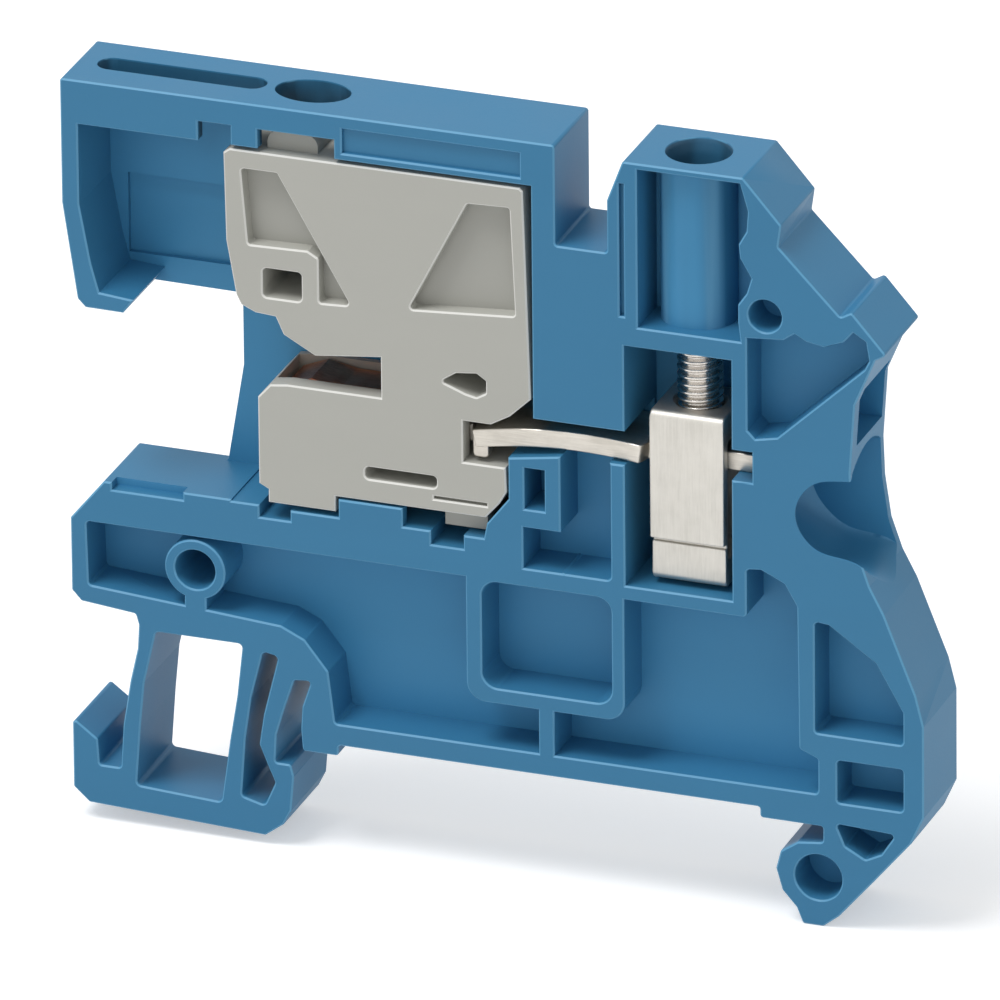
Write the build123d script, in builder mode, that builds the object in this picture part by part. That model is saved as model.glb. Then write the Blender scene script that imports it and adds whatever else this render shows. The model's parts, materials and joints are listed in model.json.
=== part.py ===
"""Neutral disconnect terminal block for a 35 mm mounting rail, one pole, 6.2 mm wide.

Frame: +X along the length towards the wire entry, +Z up from the rail, +Y through the thickness.
The open side of the moulding faces -Y. The origin is on the rail's seat, above the rail's middle,
half way through the thickness. All sizes are in millimetres.
"""

import os

from build123d import *

# Housing
WIDTH = 6.2
BACK_WALL = 0.8
CORE_DEPTH = 3.1
TOP_Z = 42.1
TOP_BAND = 2.85
JAW_LEFT = -30.7
JAW_RIM = 1.1
JAW_UNDERSIDE = 27.2
LOWER_JAW_TOP = 16.0
LOWER_JAW_LEFT = -30.5
WEB_LEFT = -21.2
OUTER_RIGHT = 24.0
SEAT_RISE = 0.7
SEAT_LEFT = (-15.7, -13.4)
SEAT_RIGHT = (13.6, 17.6)
FOOT_LEFT = -30.6
FOOT_BOTTOM = -6.0
HOOK_BOTTOM = -6.6
RIB = 1.0
FLANGE_TOP = 2.1
EDGE_ROUND = 0.2
RIM_EDGE = 0.1
BACK_EDGE = 0.15
FLOOR_BAND = 0.35

# Bridge slot and middle wall
MIDDLE_WALL_LEFT = -0.7
BRIDGE_LEFT = 0.8
BRIDGE_WIDTH = 3.3
BRIDGE_FLOOR = 35.6
MIDDLE_WALL_BOTTOM = 24.1

# Screw tower and clamp chamber
SCREW_X = 8.86
TOWER_TOP = 41.65
TOWER_PLATE = 0.4
TOWER_FLOOR = 31.0
TUBE_OUTER = 2.35
TUBE_BORE = 1.75
DRIVER_HOLE = 2.05
DRIVER_HOLE_DEPTH = 1.2
CHAMBER_LEFT = 5.1
CHAMBER_RIGHT = 11.9
CHAMBER_TOP = 29.7
CHAMBER_BACK_WALL = 0.4

# Wire entry
WIRE_Z = 20.3
WIRE_BORE = 1.55
FUNNEL_START = 14.2
FUNNEL_END = 24.5
FIN = 0.7

# Slider
SLIDER_TRAVEL = 5.2
SLIDER_GAP = 0.05
SLIDER_TOP = 39.0
SLIDER_TIP = -20.3
SLIDER_SKIN = 1.25
SLIDER_RECESS = 1.0
DROP_POCKET = 3.0
NUB_CORNER = 0.8
NUB_RISE = 1.2
NUB_X = (-17.8, -14.6)
NUB_INSET = 1.0
NUB_ROOM = 0.3
MOUTH_BOTTOM = 24.05
MOUTH_TOP = 26.7
MOUTH_END = -10.4
DETENT_X = (-6.7, -4.0)
DETENT_BOTTOM = 15.95
FORK_ROOM_X = (-17.45, -8.4)
FORK_ROOM_Z = (22.6, 28.25)
BAR_ROOM_Z = (20.6, 23.3)
BAR_ROOM_END = -2.0
EAR_ROOM_START = -5.2

# Contact metal
FORK_SHEET = 0.5
FORK_SIDE = 1.5
SPRING_SHEET = 0.2
SPRING_SIDE = 1.9
LIP_Z = 27.25
LIP_LOW_Z = 23.4
BAR = 1.2
BAR_Z = 21.9
BAR_TAIL_DROP = 0.5
BAR_TAIL_END = -12.4
BAR_TAIL_SIDE = 1.4
BAR_BEND = (-4.9, 1.0)
BAR_CREST_X = 0.8
BAR_CREST_RISE = 0.25
BAR_END = 13.0
BAR_FRONT = 0.4
BAR_BACK_SIDE = 1.0
BAR_SHOULDER = 6.2
EAR_X = (-4.7, -3.7)
EAR_DROP = 1.1
EAR_SHEET = 0.8

# Screw clamp
SLEEVE_LENGTH = 4.7
SLEEVE_SIDE = 0.5
SLEEVE_WALL = 0.8
SLEEVE_BAR_ROOM = 0.6
SLEEVE_WINDOW = 7.7
SLEEVE_FLOOR = 1.7
SLEEVE_NUT = 1.8
SLEEVE_DROP = 0.3
SLEEVE_LAP = 2.9
SLEEVE_LAP_STEP = 0.4
SLEEVE_FOLD = 0.45
SCREW_SHANK = 1.4
SCREW_HEAD = 1.65
SCREW_HEAD_HEIGHT = 2.8
SCREW_TIP_GAP = 0.05
SCREW_CHAMFER = 0.3
HEAD_SEAT = 0.5
SLOT_WIDTH = 0.55
SLOT_DEPTH = 1.0
RUNNING_GAP = 0.1
THREAD_GAP = 0.05

# Worked out
SLIDER_THICKNESS = WIDTH - BACK_WALL - 2 * SLIDER_GAP
CHAMBER_CEILING = TOP_Z - TOP_BAND
SEAT_TOP = CHAMBER_TOP + HEAD_SEAT
BAR_TOP = BAR_Z + BAR
BAR_BACK = WIDTH - BAR_BACK_SIDE
BAR_TAIL_WIDTH = WIDTH - 2 * BAR_TAIL_SIDE
FORK_WIDTH = WIDTH - 2 * FORK_SIDE
SPRING_WIDTH = WIDTH - 2 * SPRING_SIDE
SLEEVE_DEPTH = WIDTH - 2 * SLEEVE_SIDE
WINDOW_TOP = BAR_TOP + SLEEVE_BAR_ROOM
SLEEVE_TOP = WINDOW_TOP + SLEEVE_NUT
SLEEVE_BOTTOM = WINDOW_TOP - SLEEVE_WINDOW - SLEEVE_FLOOR
CHAMBER_FLOOR = SLEEVE_BOTTOM - SLEEVE_DROP
TAIL_MIDDLE = BAR_Z + BAR / 2 - BAR_TAIL_DROP


def layer(depth):
    """Plane of a section `depth` mm behind the open side, with X right and Z up."""
    return Plane.XZ.offset(WIDTH / 2 - depth)


def outline(depth, points, corner=0):
    """Closed polygon on the layer at `depth`, its corners rounded to `corner`."""
    with BuildSketch(layer(depth)) as shape:
        with BuildLine():
            Polyline(*points, close=True)
        make_face()
        if corner:
            fillet(shape.vertices(), corner)
    return shape.sketch


def rectangle(depth, x_pair, z_pair, corner=0):
    """Rectangle on the layer at `depth`, between two X and two Z values."""
    points = [(x_pair[0], z_pair[0]), (x_pair[1], z_pair[0]), (x_pair[1], z_pair[1]), (x_pair[0], z_pair[1])]
    return outline(depth, points, corner)


def disc(depth, x, z, radius):
    """Round face on the layer at `depth`."""
    with BuildSketch(layer(depth)) as shape:
        with Locations((x, z)):
            Circle(radius)
    return shape.sketch


def strip(depth, points, thickness):
    """Section of bent sheet: a path thickened to both sides."""
    with BuildSketch(layer(depth)) as shape:
        with BuildLine():
            path = Polyline(*points)
        trace(path, line_width=thickness)
    return shape.sketch


# Housing outline, from the upper left corner and clockwise
UPPER_RIGHT_PROFILE = [
    (BRIDGE_LEFT, TOP_Z),
    (BRIDGE_LEFT, BRIDGE_FLOOR),
    (BRIDGE_LEFT + BRIDGE_WIDTH, BRIDGE_FLOOR),
    (BRIDGE_LEFT + BRIDGE_WIDTH, TOWER_TOP - 2.65),
    (CHAMBER_LEFT, TOWER_TOP),
    (12.7, TOWER_TOP),
]
MARKER_GROOVE_PROFILE = [
    (15.1, 38.9),
    (14.9, 37.5),
    (18.8, 33.5),
    (19.5, 33.9),
    (21.7, 31.4),
]
FIN_PROFILE = [
    (21.0, 31.0),
    (19.7, 27.9),
    (19.4, 23.4),
    (19.5, 20.9),
    (19.9, 18.2),
    (20.6, 16.2),
]
OUTER_RIGHT_PROFILE = [
    (21.5, 14.5),
    (22.5, 12.0),
    (23.5, 9.5),
    (OUTER_RIGHT, 7.5),
    (OUTER_RIGHT, 1.5),
    (23.2, -0.3),
    (20.8, -3.2),
    (18.6, -5.8),
    (17.6, HOOK_BOTTOM),
    (16.3, HOOK_BOTTOM),
]
RAIL_HOOK_PROFILE = [
    (15.9, -5.6),
    (15.0, -4.6),
    (14.6, -3.2),
    (14.9, -2.0),
    (16.0, -1.25),
    (SEAT_RIGHT[1], -1.05),
    (SEAT_RIGHT[1], 0),
    (SEAT_RIGHT[0], 0),
    (SEAT_RIGHT[0], SEAT_RISE),
    (SEAT_LEFT[1], SEAT_RISE),
    (SEAT_LEFT[1], 0),
    (SEAT_LEFT[0], 0),
]
FOOT_PROFILE = [
    (-15.8, 1.4),
    (-15.7, 2.9),
    (-15.1, 4.7),
    (-16.2, 4.6),
    (-16.9, 2.5),
    (-17.4, 0.8),
    (-17.5, -1.05),
    (-16.5, -1.05),
    (-16.3, -1.8),
    (-16.5, -4.1),
    (-17.0, -5.1),
    (-18.2, FOOT_BOTTOM),
    (-29.6, FOOT_BOTTOM + 0.5),
    (FOOT_LEFT, -4.6),
    (FOOT_LEFT, 0),
    (-29.0, -1.2),
    (-28.9, -2.9),
    (-27.5, -2.9),
    (-27.3, 0),
    (-26.8, 3.0),
    (-26.3, 5.2),
    (-26.2, 6.8),
    (-26.4, 7.5),
]
JAW_PROFILE = [
    (-29.9, 7.85),
    (LOWER_JAW_LEFT, 8.5),
    (LOWER_JAW_LEFT, 13.3),
    (-28.3, LOWER_JAW_TOP),
    (WEB_LEFT - 1.1, LOWER_JAW_TOP),
    (WEB_LEFT, 22.5),
    (WEB_LEFT, JAW_UNDERSIDE),
    (-29.3, JAW_UNDERSIDE + 0.1),
    (-29.8, 27.8),
    (JAW_LEFT, 34.0),
    (JAW_LEFT, TOP_Z),
]
HOUSING_OUTLINE = (
    UPPER_RIGHT_PROFILE
    + MARKER_GROOVE_PROFILE
    + FIN_PROFILE
    + OUTER_RIGHT_PROFILE
    + RAIL_HOOK_PROFILE
    + FOOT_PROFILE
    + JAW_PROFILE
)

# Space that the slider lies and travels in, down to the stepped top of the lower jaw
SLIDER_SPACE = [
    (JAW_LEFT + JAW_RIM, CHAMBER_CEILING),
    (MIDDLE_WALL_LEFT, CHAMBER_CEILING),
    (MIDDLE_WALL_LEFT, MIDDLE_WALL_BOTTOM),
    (-2.3, MIDDLE_WALL_BOTTOM),
    (-2.3, 18.6),
    (-3.7, 16.8),
    (-3.9, 15.8),
    (-5.2, 15.8),
    (-5.2, 14.9),
    (-7.3, 14.9),
    (-7.3, 15.8),
    (-13.2, 15.8),
    (-16.3, 15.8),
    (-16.3, 15.1),
    (-18.3, 15.1),
    (-18.3, 15.9),
    (-20.1, 15.9),
    (-20.1, LOWER_JAW_TOP),
    (WEB_LEFT - 1.5, LOWER_JAW_TOP),
    (WEB_LEFT - 1.5, JAW_UNDERSIDE - 0.5),
    (-27.3, JAW_UNDERSIDE - 0.5),
    (-26.2, 28.2),
    (-28.4, 28.4),
    (-28.9, 30.2),
    (JAW_LEFT + JAW_RIM, 34.0),
]

BAR_CHANNEL = [
    (-2.4, MIDDLE_WALL_BOTTOM),
    (CHAMBER_LEFT + 0.1, MIDDLE_WALL_BOTTOM),
    (CHAMBER_LEFT + 0.1, BAR_Z),
    (BAR_BEND[1] + 0.3, BAR_Z),
    (-2.4, BAR_Z - 0.6),
]

# Coring of the lower body
LOWER_CORE = [
    (-29.5, 13.2),
    (12.8, 13.05),
    (12.8, 16.2),
    (13.7, 16.3),
    (15.2, 15.6),
    (16.0, 14.2),
    (16.1, 4.9),
    (17.3, 4.4),
    (17.3, FLANGE_TOP),
    (-13.6, FLANGE_TOP),
    (-14.0, 5.5),
    (-15.5, 7.4),
    (-17.0, 8.1),
    (-29.4, 9.0),
]
TRIANGLE_CORE = [
    (12.9, 31.3),
    (15.2, 31.5),
    (15.9, 32.0),
    (16.6, 31.6),
    (17.8, 31.4),
    (19.0, 31.9),
    (19.6, 32.6),
    (20.4, 32.1),
    (20.6, 30.9),
    (20.3, 30.3),
    (14.8, 25.1),
    (13.4, 24.8),
    (12.9, 25.3),
]
FOOT_CORE = [(17.1, 13.4), (18.0, 13.3), (21.0, 11.2), (22.7, 8.2), (22.7, 6.1), (17.1, 6.1)]
HOOK_CORE = [(18.4, 0.3), (22.2, 0.1), (21.3, -1.3), (20.3, -1.8), (19.0, -1.1)]
TOWER_CORE = [
    (6.0, TOWER_TOP - TOWER_PLATE),
    (12.5, TOWER_TOP - TOWER_PLATE),
    (13.0, 39.5),
    (12.9, 38.2),
    (12.4, 37.3),
    (12.5, 36.4),
    (13.2, 35.2),
    (12.9, 34.2),
    (12.35, 33.4),
    (12.35, 32.2),
    (12.5, TOWER_FLOOR),
    (6.0, TOWER_FLOOR),
]
LEAF_WINDOW = [
    (-25.1, 6.5),
    (-19.5, 6.5),
    (-19.9, 3.0),
    (-20.4, 0),
    (-21.0, -4.2),
    (-26.5, -3.9),
    (-26.2, 0),
    (-25.9, 3.0),
]
LEAF_SLOT = [
    (-18.2, 6.2),
    (-17.2, 6.0),
    (-18.2, 2.0),
    (-18.5, 0),
    (-17.9, -1.5),
    (-17.5, -2.4),
    (-18.2, -4.0),
    (-19.7, -3.6),
    (-19.4, 0.3),
    (-19.0, 3.0),
]

with BuildPart() as housing:
    extrude(outline(0, HOUSING_OUTLINE, EDGE_ROUND), amount=-WIDTH)

    # The slider's chamber, open to the front, and the bar's channel to the clamp
    extrude(outline(0, SLIDER_SPACE), amount=BACK_WALL - WIDTH, mode=Mode.SUBTRACT)
    extrude(outline(0, BAR_CHANNEL), amount=BACK_WALL - WIDTH, mode=Mode.SUBTRACT)
    extrude(
        rectangle(WIDTH - BACK_WALL - 0.1, (JAW_LEFT + 2.2, -12.0), (28.9, 34.1)),
        amount=-(FLOOR_BAND + 0.1),
        mode=Mode.SUBTRACT,
    )
    extrude(rectangle(0, (-13.2, -9.1), (15.7, 17.0)), amount=-BACK_WALL)

    # Room for the slider's nub along its travel, with two notches in the front skin
    nub_ceiling = SLIDER_TOP + NUB_RISE + NUB_ROOM
    nub_run = (NUB_X[0] - SLIDER_TRAVEL - NUB_ROOM, NUB_X[1] + 1.4)
    extrude(
        rectangle(NUB_INSET - NUB_ROOM / 2, nub_run, (CHAMBER_CEILING - 0.1, nub_ceiling)),
        amount=-(WIDTH - BACK_WALL - NUB_INSET),
        mode=Mode.SUBTRACT,
    )
    for notch in [(-21.9, -19.8), (-18.1, -13.2)]:
        extrude(rectangle(0, notch, (CHAMBER_CEILING - 0.1, nub_ceiling)), amount=-NUB_INSET, mode=Mode.SUBTRACT)
    extrude(rectangle(0, (-12.7, -1.4), (39.7, 41.3)), amount=-0.3, mode=Mode.SUBTRACT)

    # Marker slot and test opening in the top face
    with BuildSketch(Plane.XY.offset(TOP_Z)):
        with Locations((-24.0, 0)):
            SlotOverall(10.8, 1.8)
        with Locations((-15.63, 0)):
            Ellipse(2.37, 1.7)
    extrude(amount=-TOP_BAND - 0.1, mode=Mode.SUBTRACT)

    # Clamp chamber, tower recess and the tube that leads the screwdriver
    chamber_depth = WIDTH - CHAMBER_BACK_WALL
    extrude(
        rectangle(0, (CHAMBER_LEFT, CHAMBER_RIGHT), (CHAMBER_FLOOR, CHAMBER_TOP)),
        amount=-chamber_depth,
        mode=Mode.SUBTRACT,
    )
    extrude(rectangle(0, (4.85, 5.15), (31.6, 40.2)), amount=-0.4, mode=Mode.SUBTRACT)
    extrude(outline(0, TOWER_CORE), amount=-CORE_DEPTH - 0.4, mode=Mode.SUBTRACT)
    with BuildSketch(Plane.XY.offset(TOWER_FLOOR - 0.1)):
        with Locations((SCREW_X, 0)):
            Circle(TUBE_OUTER)
    extrude(until=Until.NEXT)
    with BuildSketch(Plane.XY.offset(TOWER_TOP)):
        with Locations((SCREW_X, 0)):
            Circle(TUBE_BORE)
    extrude(amount=SEAT_TOP - TOWER_TOP, mode=Mode.SUBTRACT)
    with BuildSketch(Plane.XY.offset(SEAT_TOP)):
        with Locations((SCREW_X, 0)):
            Circle(SCREW_SHANK + RUNNING_GAP)
    extrude(amount=-HEAD_SEAT, mode=Mode.SUBTRACT)
    with BuildSketch(Plane.XY.offset(TOWER_TOP)):
        with Locations((SCREW_X, 0)):
            Circle(DRIVER_HOLE)
    extrude(amount=-DRIVER_HOLE_DEPTH, taper=16, mode=Mode.SUBTRACT)

    # Window for the bar's end
    extrude(rectangle(0, (CHAMBER_RIGHT - 0.1, 13.2), (BAR_Z, BAR_Z + 2.0)), amount=-4.9, mode=Mode.SUBTRACT)

    # Marker carrier: ring pocket and the recess under its lobes
    extrude(disc(0, 14.05, 32.9, 1.05), amount=-CORE_DEPTH + 0.5, mode=Mode.SUBTRACT)
    extrude(outline(0, TRIANGLE_CORE), amount=-CORE_DEPTH + 0.5, mode=Mode.SUBTRACT)

    # Coring of the lower body, with the frame round the middle left standing
    extrude(outline(0, LOWER_CORE, 0.25), amount=-CORE_DEPTH, mode=Mode.SUBTRACT)
    extrude(rectangle(0, (-5.1, 5.0), (5.0, 15.0), 1.2), amount=-CORE_DEPTH)
    extrude(rectangle(0, (-RIB / 2, RIB / 2), (FLANGE_TOP - 0.1, 5.2)), amount=-CORE_DEPTH)
    extrude(rectangle(0, (-4.1, 4.2), (6.0, 13.0), 1.0), amount=-CORE_DEPTH, mode=Mode.SUBTRACT)
    extrude(rectangle(0, (1.0, 4.2), (14.2, BAR_Z + 0.1), 0.3), amount=-CORE_DEPTH, mode=Mode.SUBTRACT)
    extrude(rectangle(0, (-1.4, 1.1), (14.2, 16.9)), amount=-CORE_DEPTH, mode=Mode.SUBTRACT)
    extrude(rectangle(0, (-1.3, 0), (18.1, 20.8)), amount=-CORE_DEPTH, mode=Mode.SUBTRACT)
    extrude(disc(0, -22.5, 11.0, 1.95), amount=-CORE_DEPTH)
    extrude(rectangle(0, (-23.2, -21.8), (8.2, 9.4)), amount=-CORE_DEPTH)
    extrude(disc(0, -22.5, 11.0, 1.3), amount=-CORE_DEPTH - 1.5, mode=Mode.SUBTRACT)
    extrude(rectangle(0, (-27.8, -23.2), (LOWER_JAW_TOP - 0.5, LOWER_JAW_TOP + 0.1)), amount=-0.9, mode=Mode.SUBTRACT)

    # Right foot
    extrude(outline(0, FOOT_CORE, 0.25), amount=-CORE_DEPTH + 0.4, mode=Mode.SUBTRACT)
    extrude(rectangle(0, (18.5, 22.7), (1.7, 4.5), 0.25), amount=-CORE_DEPTH + 0.4, mode=Mode.SUBTRACT)
    extrude(outline(0, HOOK_CORE, 0.2), amount=-CORE_DEPTH + 0.4, mode=Mode.SUBTRACT)
    extrude(disc(0, 17.3, -3.4, 1.5), amount=-CORE_DEPTH + 0.4, mode=Mode.SUBTRACT)

    # Sprung foot: the window between its leaves and the slot that frees the nose
    extrude(outline(0, LEAF_WINDOW, 0.3), amount=-WIDTH, mode=Mode.SUBTRACT)
    extrude(outline(0, LEAF_SLOT, 0.3), amount=-WIDTH, mode=Mode.SUBTRACT)

    # Wire entry: a bore that flares into an open funnel in front of the fin
    with BuildPart(mode=Mode.PRIVATE) as funnel:
        with BuildSketch(Plane.XZ):
            with BuildLine():
                Line((CHAMBER_RIGHT - 0.5, WIRE_Z), (CHAMBER_RIGHT - 0.5, WIRE_Z + WIRE_BORE))
                Line((CHAMBER_RIGHT - 0.5, WIRE_Z + WIRE_BORE), (FUNNEL_START, WIRE_Z + WIRE_BORE))
                Spline(
                    (FUNNEL_START, WIRE_Z + WIRE_BORE),
                    (16.0, WIRE_Z + 3.1),
                    (17.3, WIRE_Z + 3.75),
                    (19.9, WIRE_Z + 4.1),
                    (21.2, WIRE_Z + 5.2),
                )
                Line((21.2, WIRE_Z + 5.2), (FUNNEL_END, WIRE_Z + 5.2))
                Line((FUNNEL_END, WIRE_Z + 5.2), (FUNNEL_END, WIRE_Z))
                Line((FUNNEL_END, WIRE_Z), (CHAMBER_RIGHT - 0.5, WIRE_Z))
            make_face()
        revolve(axis=Axis((0, 0, WIRE_Z), (1, 0, 0)))
        split(bisect_by=Plane.XZ.offset(FIN - WIDTH / 2), keep=Keep.TOP)
    add(funnel.part, mode=Mode.SUBTRACT)

    # Pocket behind the front skin above the funnel
    skin_pocket = [(17.5, 24.9), (23.0, 24.9), (23.0, 29.7), (21.0, 29.6), (17.5, 26.3)]
    extrude(outline(0.9, skin_pocket), amount=-(WIDTH - FIN - 0.9), mode=Mode.SUBTRACT)

    # The rim of every wall on the open side is eased, and so is the edge of the closed side
    chamfer(housing.faces().filter_by(Axis.Y).group_by(Axis.Y)[0].edges(), RIM_EDGE)
    chamfer(housing.faces().filter_by(Axis.Y).group_by(Axis.Y)[-1].edges(), BACK_EDGE)
housing.part.label = "housing"

# Slider outline, from the tip and clockwise
SLIDER_OUTLINE = [
    (SLIDER_TIP, SLIDER_TOP - 0.3),
    (-19.9, SLIDER_TOP),
    (-1.45, SLIDER_TOP),
    (-1.25, 38.8),
    (-0.85, 25.3),
    (-2.2, 24.0),
    (-3.6, 23.2),
    (-2.5, 20.6),
    (-2.45, 19.0),
    (-2.9, 18.2),
    (-3.8, 17.15),
    (-13.4, 17.15),
    (-13.4, 16.15),
    (-17.7, 16.15),
    (-17.7, 17.0),
    (-18.3, 17.3),
    (-18.3, 23.0),
    (-17.5, 23.9),
    (-16.4, MOUTH_BOTTOM),
    (MOUTH_END, MOUTH_BOTTOM),
    (MOUTH_END, MOUTH_TOP),
    (-14.6, 26.2),
    (-16.6, 27.3),
    (-17.1, 28.4),
    (-18.4, 28.5),
    (-19.3, 28.9),
    (-19.6, 29.5),
    (-20.2, 33.0),
]

with BuildPart() as disconnect_slider:
    extrude(outline(SLIDER_GAP, SLIDER_OUTLINE), amount=-SLIDER_THICKNESS)
    nub_depth = SLIDER_THICKNESS - 2 * NUB_INSET + SLIDER_GAP
    nub_root = SLIDER_TOP - NUB_CORNER - 0.1
    extrude(rectangle(NUB_INSET, NUB_X, (nub_root, SLIDER_TOP + NUB_RISE), NUB_CORNER), amount=-nub_depth)
    extrude(rectangle(NUB_INSET, DETENT_X, (DETENT_BOTTOM, DETENT_BOTTOM + 1.3)), amount=-nub_depth)

    # Two shallow recesses and the small openings in the front
    recesses = [
        [(-19.2, 37.8), (-16.9, 37.8), (-12.3, 29.8), (-14.3, 29.7), (-14.3, 32.6), (-15.0, 33.0), (-18.8, 32.9)],
        [(-4.8, 37.5), (-2.1, 37.6), (-1.8, 30.6), (-8.6, 30.1)],
    ]
    for recess in recesses:
        extrude(outline(SLIDER_GAP, recess, 0.2), amount=-SLIDER_RECESS, mode=Mode.SUBTRACT)
    extrude(rectangle(SLIDER_GAP, (-17.9, -15.4), (29.6, 31.5), 0.3), amount=-SLIDER_THICKNESS, mode=Mode.SUBTRACT)
    extrude(rectangle(SLIDER_GAP, (-11.5, -6.9), (18.6, 19.4), 0.3), amount=-SLIDER_THICKNESS, mode=Mode.SUBTRACT)
    extrude(rectangle(SLIDER_GAP, (-7.1, -3.7), (17.9, 18.1)), amount=-0.4, mode=Mode.SUBTRACT)
    drop = [(-6.6, 25.7), (-5.6, 26.35), (-4.3, 26.5), (-3.7, 26.1), (-3.7, 25.3), (-4.3, 24.95), (-5.0, 25.1)]
    extrude(outline(SLIDER_GAP, drop, 0.15), amount=-DROP_POCKET, mode=Mode.SUBTRACT)

    # Room for the fork and its spring, and for the bar's tail and ear along the travel
    inner = WIDTH / 2 - SLIDER_SKIN
    tail_room_x = (BAR_TAIL_END - 0.2, BAR_ROOM_END)
    extrude(rectangle(SLIDER_SKIN, FORK_ROOM_X, FORK_ROOM_Z), amount=-2 * inner, mode=Mode.SUBTRACT)
    extrude(rectangle(SLIDER_SKIN, tail_room_x, BAR_ROOM_Z), amount=-2 * inner, mode=Mode.SUBTRACT)
    extrude(rectangle(0, (EAR_ROOM_START, BAR_ROOM_END), BAR_ROOM_Z), amount=-WIDTH, mode=Mode.SUBTRACT)
    chamfer(disconnect_slider.faces().filter_by(Axis.Y).group_by(Axis.Y)[0].edges(), RIM_EDGE)
disconnect_slider.part.label = "disconnect_slider"

# Fork: an upper lip, a back, and a lower lip that runs back over the bar's tail
fork_ride = TAIL_MIDDLE + BAR / 2 + SLIDER_GAP + FORK_SHEET / 2
UPPER_LIP = [(-17.0, LIP_Z + 0.35), (-15.4, LIP_Z - 0.35), (-13.6, LIP_Z), (-9.2, LIP_Z), (-9.2, LIP_LOW_Z)]
LOWER_LIP = [
    (-17.0, LIP_LOW_Z - 0.3),
    (-15.4, LIP_LOW_Z + 0.35),
    (-13.6, LIP_LOW_Z),
    (-9.2, LIP_LOW_Z),
    (-8.4, fork_ride),
    (-5.7, fork_ride),
]

with BuildPart() as contact_fork:
    fork_front = (WIDTH - FORK_WIDTH) / 2
    extrude(strip(fork_front, UPPER_LIP, FORK_SHEET), amount=-FORK_WIDTH)
    extrude(strip(fork_front, LOWER_LIP, FORK_SHEET), amount=-FORK_WIDTH)
contact_fork.part.label = "contact_fork"

spring_low = LIP_Z + FORK_SHEET / 2 + SPRING_SHEET / 2
SPRING_PATH = [(-13.3, spring_low), (-11.3, spring_low + 0.5), (-9.3, spring_low)]

with BuildPart() as fork_spring:
    spring_front = (WIDTH - SPRING_WIDTH) / 2
    with BuildSketch(layer(spring_front)):
        with BuildLine():
            leaf = ThreePointArc(*SPRING_PATH)
        trace(leaf, line_width=SPRING_SHEET)
    extrude(amount=-SPRING_WIDTH)
fork_spring.part.label = "fork_spring"

# Bar: wide from the slider to the clamp, narrow in the sleeve and in the slider
bar_middle = BAR_Z + BAR / 2
TAIL_PATH = [(BAR_TAIL_END, TAIL_MIDDLE), (BAR_BEND[0], TAIL_MIDDLE)]
ARCH_PATH = [(BAR_BEND[0], TAIL_MIDDLE), (BAR_CREST_X, bar_middle + BAR_CREST_RISE), (BAR_SHOULDER, bar_middle)]
NARROW_PATH = [(BAR_SHOULDER - 0.2, bar_middle), (BAR_END, bar_middle)]

with BuildPart() as current_bar:
    tail_front = (WIDTH - BAR_TAIL_WIDTH) / 2
    extrude(strip(tail_front, TAIL_PATH, BAR), amount=-BAR_TAIL_WIDTH)
    with BuildSketch(layer(BAR_FRONT)):
        with BuildLine():
            arch = ThreePointArc(*ARCH_PATH)
        trace(arch, line_width=BAR)
    extrude(amount=-(BAR_BACK - BAR_FRONT))
    extrude(strip(tail_front, NARROW_PATH, BAR), amount=-BAR_TAIL_WIDTH)
    extrude(
        rectangle(BAR_FRONT, EAR_X, (TAIL_MIDDLE - EAR_DROP, TAIL_MIDDLE + 0.1)),
        amount=-EAR_SHEET,
    )
current_bar.part.label = "current_bar"

with BuildPart() as clamp_sleeve:
    sleeve_x = (SCREW_X - SLEEVE_LENGTH / 2, SCREW_X + SLEEVE_LENGTH / 2)
    sleeve_middle = (SLEEVE_BOTTOM + SLEEVE_TOP) / 2
    with BuildSketch(Plane.YZ.offset(sleeve_x[0])):
        with Locations((0, sleeve_middle)):
            RectangleRounded(SLEEVE_DEPTH, SLEEVE_TOP - SLEEVE_BOTTOM, SLEEVE_FOLD)
        with Locations((0, WINDOW_TOP - SLEEVE_WINDOW / 2)):
            RectangleRounded(SLEEVE_DEPTH - 2 * SLEEVE_WALL, SLEEVE_WINDOW, SLEEVE_FOLD / 2, mode=Mode.SUBTRACT)
    extrude(amount=SLEEVE_LENGTH)
    extrude(
        rectangle(0, (sleeve_x[0] - 1, sleeve_x[1] + 1), (SLEEVE_BOTTOM - 1, SLEEVE_BOTTOM + SLEEVE_LAP)),
        amount=-(SLEEVE_SIDE + SLEEVE_LAP_STEP),
        mode=Mode.SUBTRACT,
    )
    with BuildSketch(Plane.XY.offset(SLEEVE_TOP)):
        with Locations((SCREW_X, 0)):
            Circle(SCREW_SHANK + THREAD_GAP)
    extrude(amount=-SLEEVE_NUT - 0.2, mode=Mode.SUBTRACT)
clamp_sleeve.part.label = "clamp_sleeve"

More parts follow.
